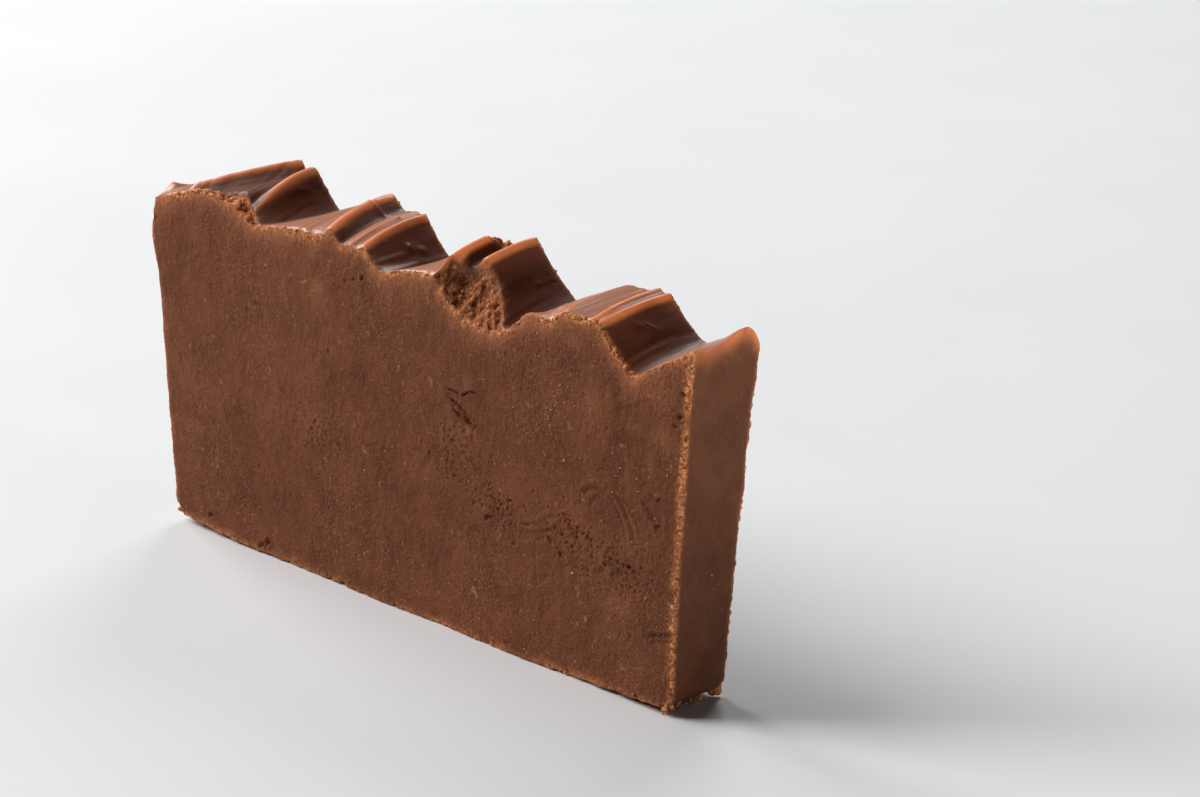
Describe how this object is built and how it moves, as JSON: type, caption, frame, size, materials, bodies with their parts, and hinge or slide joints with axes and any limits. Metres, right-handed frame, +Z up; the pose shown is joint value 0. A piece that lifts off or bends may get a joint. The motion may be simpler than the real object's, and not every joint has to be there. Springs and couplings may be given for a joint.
{
  "type": "slice of chocolate fudge",
  "caption": "Upright slice of chocolate fudge with a ridged, saw-toothed top, matte cut faces and smooth moulded ends.",
  "frame": {"origin": "on the surface it stands on, under the middle of its bounding box", "axes": "+X along the length of the slice, +Y through its thickness from the front cut face to the rear one, +Z up"},
  "size_m": [0.1512, 0.0192, 0.0765],
  "materials": {
    "fudge": "matte cut faces, satin top and ends"
  },
  "bodies": {
    "root": {"fudge_slice": "fudge"}
  },
  "joints": []
}
